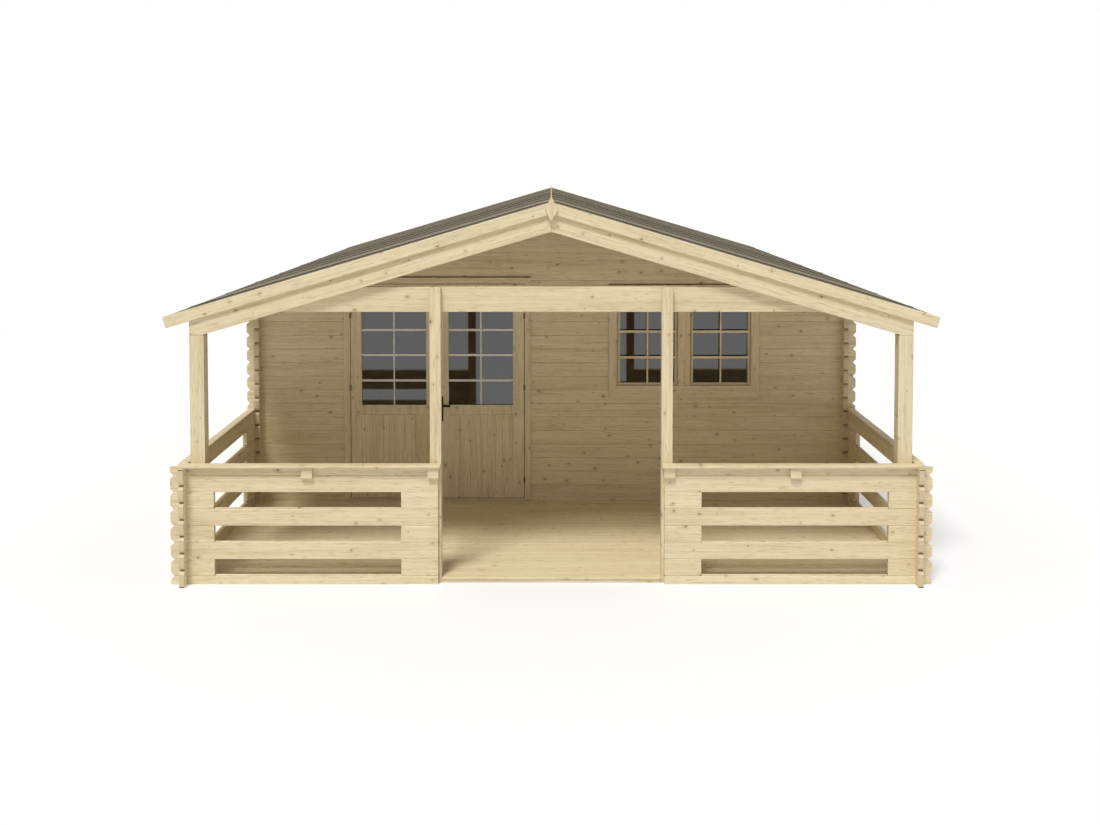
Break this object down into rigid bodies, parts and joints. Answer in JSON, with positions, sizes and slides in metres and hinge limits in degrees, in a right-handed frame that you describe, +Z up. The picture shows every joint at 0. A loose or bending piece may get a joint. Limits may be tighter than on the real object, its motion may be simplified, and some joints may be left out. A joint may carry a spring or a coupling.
{
  "type": "wooden garden house",
  "caption": "Log garden house with crossed log corners, a railed veranda under one gable roof, an outward double door and a window.",
  "frame": {"origin": "on the ground under the middle of the bounding box", "axes": "+Z up, front and veranda towards -Y, +X to the right seen from the front"},
  "size_m": [5.536, 8.302, 2.8563],
  "materials": {
    "logs": "planed spruce",
    "floor_boards": "planed boards",
    "planed_timber": "planed spruce",
    "roof_wood": "planed boards",
    "roofing_felt": "mineral felt",
    "joinery": "planed spruce",
    "pane": "clear",
    "hinge_steel": "dark",
    "handle_black": "black"
  },
  "bodies": {
    "house": {"left_side_wall": "logs", "right_side_wall": "logs", "back_wall": "logs", "front_sill_log": "logs", "front_wall_left": "logs", "front_wall_right": "logs", "front_gable": "logs", "front_rail_left": "logs", "front_rail_right": "logs", "side_rail_left": "logs", "side_rail_right": "logs", "cabin_floor": "floor_boards", "veranda_floor": "floor_boards", "floor_battens": "floor_boards", "rail_caps": "planed_timber", "rail_brackets": "planed_timber", "corner_posts": "planed_timber", "middle_posts": "planed_timber", "tie_beam": "planed_timber", "front_rafter_left": "planed_timber", "front_rafter_right": "planed_timber", "eave_beams": "planed_timber", "purlins": "planed_timber", "front_barge_boards": "planed_timber", "back_barge_boards": "planed_timber", "ridge_finial": "planed_timber", "roof_boards_left": "roof_wood", "roof_boards_right": "roof_wood", "roof_felt_left": "roofing_felt", "roof_felt_right": "roofing_felt", "door_frame": "joinery", "door_casing": "joinery", "window_frame": "joinery", "window_sashes": "joinery", "window_casing": "joinery", "window_glass": "pane", "frame_hinges": "hinge_steel"},
    "left_door": {"left_door_leaf": "joinery", "left_door_glass": "pane", "left_leaf_hinges": "hinge_steel"},
    "right_door": {"right_door_leaf": "joinery", "right_door_glass": "pane", "right_leaf_hinges": "hinge_steel", "handle_plates": "handle_black"},
    "lever": {"door_lever": "handle_black"}
  },
  "joints": [
    {"name": "left_door_swing", "type": "hinge", "parent": "house", "child": "left_door", "pos_m": [-1.768, -1.997, 0], "axis": [0, 0, -1], "range_deg": [0, 100]},
    {"name": "right_door_swing", "type": "hinge", "parent": "house", "child": "right_door", "pos_m": [-0.238, -1.997, 0], "axis": [0, 0, 1], "range_deg": [0, 100]},
    {"name": "lever_turn", "type": "hinge", "parent": "right_door", "child": "lever", "pos_m": [-0.9705, -1.967, 0.8935], "axis": [0, 1, 0], "range_deg": [0, 35], "stiffness_Nm_per_rad": 1.2, "springref_deg": -22.92}
  ]
}
